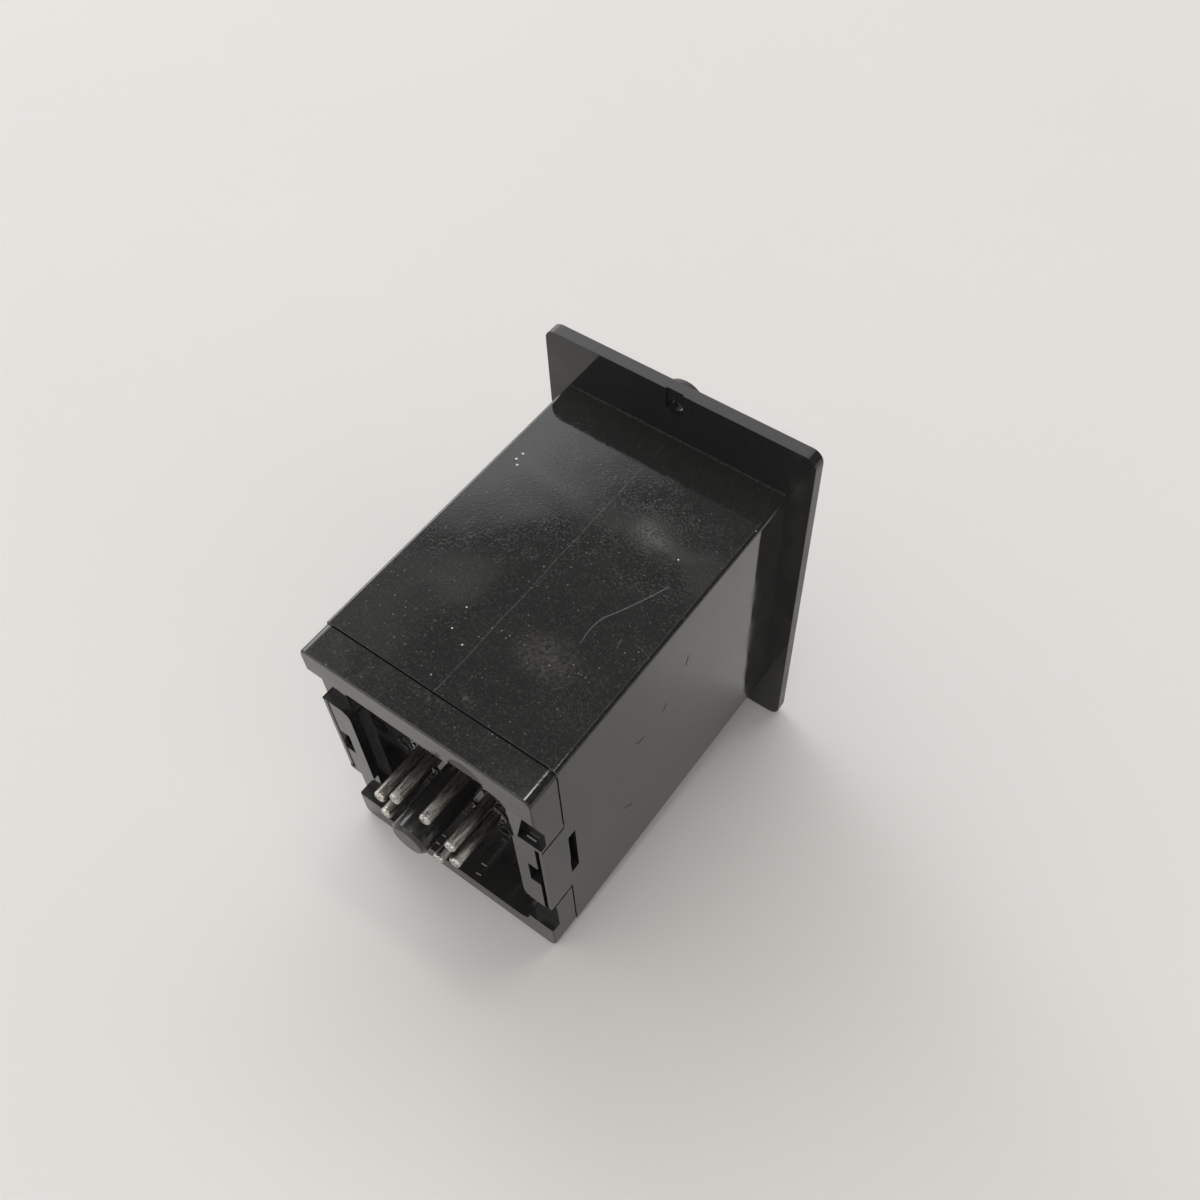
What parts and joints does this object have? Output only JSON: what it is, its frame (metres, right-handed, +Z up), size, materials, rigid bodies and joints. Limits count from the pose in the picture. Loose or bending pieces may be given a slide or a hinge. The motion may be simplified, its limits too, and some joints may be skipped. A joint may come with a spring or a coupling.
{
  "type": "time delay relay",
  "caption": "Plug-in time delay relay in a long black case with a wide panel bezel, a central setting knob and an octal pin base in a snap-fit rear cap.",
  "frame": {"origin": "on the axis of the case, in the back face of the bezel, midway between the two screw holes", "axes": "+Z up, +Y towards the pins along the case axis, front and knob towards -Y"},
  "size_m": [0.0578, 0.0978, 0.0842],
  "materials": {
    "case_plastic": "fine satin grain",
    "base_plastic": "fine satin grain",
    "dial_black": "satin",
    "knob_plastic": "satin",
    "lamp_red": "clear gloss",
    "lamp_green": "clear gloss",
    "pin_metal": "tinned and tarnished",
    "tinned_copper": "tinned",
    "plain_steel": "zinc plated",
    "board_green": "epoxy glass board",
    "relay_plastic": "satin",
    "clear_plastic": "clear",
    "coil_copper": "enamelled wire",
    "bobbin_plastic": "satin",
    "contact_silver": "satin",
    "spring_bronze": "satin",
    "capacitor_sleeve": "shrunk sleeve",
    "film_yellow": "gloss",
    "component_black": "satin",
    "resistor_beige": "lacquered"
  },
  "bodies": {
    "housing": {"case_shell": "case_plastic", "rear_base": "base_plastic", "dial_plate": "dial_black", "pot_body": "plain_steel", "pot_washer": "plain_steel", "pot_nut": "plain_steel", "pot_tags": "tinned_copper", "power_lamp": "lamp_green", "output_lamp": "lamp_red", "front_board": "board_green", "board_screws": "plain_steel", "link_pins": "tinned_copper", "main_board": "board_green", "timing_board": "board_green", "rear_board": "board_green", "relay_base": "relay_plastic", "relay_cover": "clear_plastic", "relay_yoke": "plain_steel", "relay_core": "plain_steel", "relay_bobbin": "bobbin_plastic", "relay_winding": "coil_copper", "open_terminals": "tinned_copper", "closed_terminals": "tinned_copper", "coil_pins": "tinned_copper", "hinge_spring": "spring_bronze", "smoothing_capacitor": "capacitor_sleeve", "supply_capacitor": "film_yellow", "rectifier_diodes": "component_black", "timer_chip": "component_black", "timing_capacitor": "film_yellow", "resistors": "resistor_beige", "driver_transistor": "component_black", "pin_1": "pin_metal", "pin_2": "pin_metal", "pin_3": "pin_metal", "pin_4": "pin_metal", "pin_5": "pin_metal", "pin_6": "pin_metal", "pin_7": "pin_metal", "pin_8": "pin_metal"},
    "knob": {"setting_knob": "knob_plastic", "pot_shaft": "plain_steel"},
    "armature": {"relay_armature": "plain_steel", "spring_carrier": "relay_plastic", "moving_spring_left": "spring_bronze", "moving_spring_right": "spring_bronze", "moving_contacts": "contact_silver"}
  },
  "joints": [
    {"name": "knob_turn", "type": "hinge", "parent": "housing", "child": "knob", "pos_m": [0, -0.003, -0.004], "axis": [0, -1, 0], "range_deg": [-140, 140]},
    {"name": "armature_swing", "type": "hinge", "parent": "housing", "child": "armature", "pos_m": [-0.0084, 0.05, 0.00128], "axis": [1, 0, 0], "range_deg": [0, 4.5], "stiffness_Nm_per_rad": 0.004, "springref_deg": -20.05}
  ]
}
